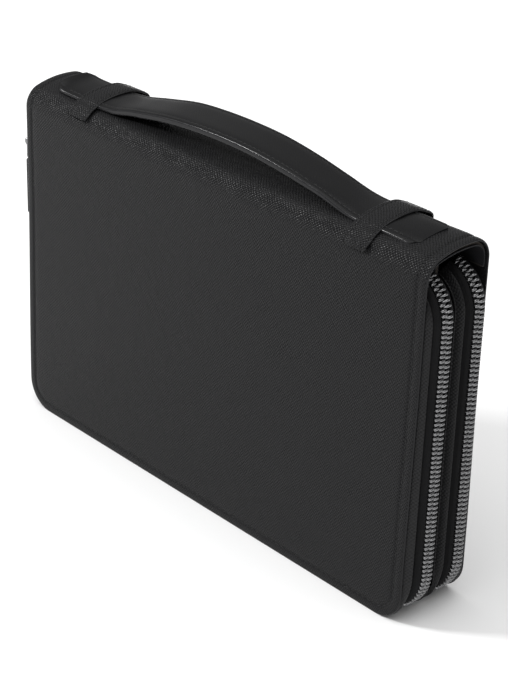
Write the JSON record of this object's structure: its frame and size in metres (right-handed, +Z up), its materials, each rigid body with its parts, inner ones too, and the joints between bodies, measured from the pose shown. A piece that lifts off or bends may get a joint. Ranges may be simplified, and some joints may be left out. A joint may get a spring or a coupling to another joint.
{
  "type": "portfolio case",
  "caption": "Slim zip-round leather portfolio case with folding covers, a middle divider, zips with leather pulls and a sliding strap handle on the spine.",
  "frame": {"origin": "on the plane the case stands on (the lower edges of its covers), under the middle of the spine and half way between the covers", "axes": "+Z up from the base to the spine, +X along the spine away from the parked zip sliders, -Y out of the front cover"},
  "size_m": [0.2843, 0.039, 0.1866],
  "materials": {
    "grained_leather": "cross-grain embossed, semi-gloss",
    "handle_leather": "cross-grain embossed, painted edges",
    "gusset_leather": "fine grain, satin",
    "pocket_leather": "smooth, satin",
    "lining": "woven twill",
    "stiffener": "matt",
    "zip_tape": "woven herringbone",
    "zip_teeth": "gunmetal plated, polished faces",
    "zip_metal": "gunmetal plated, gloss"
  },
  "bodies": {
    "case": {"spine_leather": "grained_leather", "spine_stiffener": "stiffener", "spine_lining": "lining", "keeper_left": "grained_leather", "keeper_right": "grained_leather", "divider_board": "stiffener", "divider_lining_front": "lining", "divider_lining_back": "lining", "divider_pocket": "pocket_leather", "front_gusset_inner": "gusset_leather", "back_gusset_inner": "gusset_leather", "front_zip_tape_inner": "zip_tape", "back_zip_tape_inner": "zip_tape", "front_zip_teeth_inner": "zip_teeth", "back_zip_teeth_inner": "zip_teeth", "gusset_top_ends": "gusset_leather", "zip_tape_top_ends": "zip_tape", "zip_teeth_top_ends": "zip_teeth", "zip_top_stops_inner": "zip_teeth", "zip_bottom_stops": "zip_teeth"},
    "front_cover": {"front_cover_leather": "grained_leather", "front_cover_board": "stiffener", "front_cover_lining": "lining", "front_cover_pocket": "pocket_leather", "front_gusset_outer": "gusset_leather", "front_zip_tape_outer": "zip_tape", "front_zip_teeth_outer": "zip_teeth", "front_zip_top_stop": "zip_teeth"},
    "back_cover": {"back_cover_leather": "grained_leather", "back_cover_board": "stiffener", "back_cover_lining": "lining", "back_card_slot_1": "pocket_leather", "back_card_slot_2": "pocket_leather", "back_card_slot_3": "pocket_leather", "back_gusset_outer": "gusset_leather", "back_zip_tape_outer": "zip_tape", "back_zip_teeth_outer": "zip_teeth", "back_zip_top_stop": "zip_teeth"},
    "front_slider": {"front_zip_slider": "zip_metal"},
    "back_slider": {"back_zip_slider": "zip_metal"},
    "front_pull": {"front_zip_puller": "zip_metal", "front_zip_pull_leather": "handle_leather"},
    "back_pull": {"back_zip_puller": "zip_metal", "back_zip_pull_leather": "handle_leather"},
    "left_tab": {"handle_tab_left": "handle_leather"},
    "left_strap": {"handle_strap_left": "handle_leather"},
    "middle_strap": {"handle_strap_middle": "handle_leather"},
    "right_strap": {"handle_strap_right": "handle_leather"},
    "right_tab": {"handle_tab_right": "handle_leather"}
  },
  "joints": [
    {"name": "front_cover_fold", "type": "hinge", "parent": "case", "child": "front_cover", "pos_m": [0, -0.0192, 0.157], "axis": [-1, 0, 0], "range_deg": [0, 90]},
    {"name": "back_cover_fold", "type": "hinge", "parent": "case", "child": "back_cover", "pos_m": [0, 0.0192, 0.157], "axis": [1, 0, 0], "range_deg": [0, 90]},
    {"name": "front_zip_run", "type": "slide", "parent": "case", "child": "front_slider", "axis": [0, 0, -1], "range_m": [0, 0.105], "deforming": ["front_zip_teeth_outer", "front_zip_teeth_inner", "front_zip_tape_outer", "front_zip_tape_inner"]},
    {"name": "back_zip_run", "type": "slide", "parent": "case", "child": "back_slider", "axis": [0, 0, -1], "range_m": [0, 0.105], "deforming": ["back_zip_teeth_outer", "back_zip_teeth_inner", "back_zip_tape_outer", "back_zip_tape_inner"]},
    {"name": "front_pull_swing", "type": "hinge", "parent": "front_slider", "child": "front_pull", "pos_m": [-0.1429, -0.0097, 0.1413], "axis": [0, 1, 0], "range_deg": [0, 150]},
    {"name": "back_pull_swing", "type": "hinge", "parent": "back_slider", "child": "back_pull", "pos_m": [-0.1429, 0.0097, 0.1413], "axis": [0, 1, 0], "range_deg": [0, 150]},
    {"name": "left_tab_slide", "type": "slide", "parent": "case", "child": "left_tab", "axis": [1, 0, 0], "range_m": [-0.0024, 0.0137]},
    {"name": "handle_lift", "type": "hinge", "parent": "left_tab", "child": "left_strap", "pos_m": [-0.082, 0, 0.1775], "axis": [0, -1, 0], "range_deg": [-6, 36]},
    {"name": "left_knee_bend", "type": "hinge", "parent": "left_strap", "child": "middle_strap", "pos_m": [-0.03, 0, 0.1836], "axis": [0, 1, 0], "range_deg": [-6.1, 36.1]},
    {"name": "right_knee_bend", "type": "hinge", "parent": "middle_strap", "child": "right_strap", "pos_m": [0.03, 0, 0.1836], "axis": [0, 1, 0], "range_deg": [-6.1, 36.1]},
    {"name": "right_tab_bend", "type": "hinge", "parent": "right_strap", "child": "right_tab", "pos_m": [0.082, 0, 0.1775], "axis": [0, -1, 0], "range_deg": [-6.1, 36.1]}
  ],
  "couplings": [
    {"joint": "left_tab_slide", "follows": "handle_lift", "m_per_rad": 0.0215},
    {"joint": "left_knee_bend", "follows": "handle_lift", "ratio": 1},
    {"joint": "right_knee_bend", "follows": "handle_lift", "ratio": 1},
    {"joint": "right_tab_bend", "follows": "handle_lift", "ratio": 1}
  ]
}
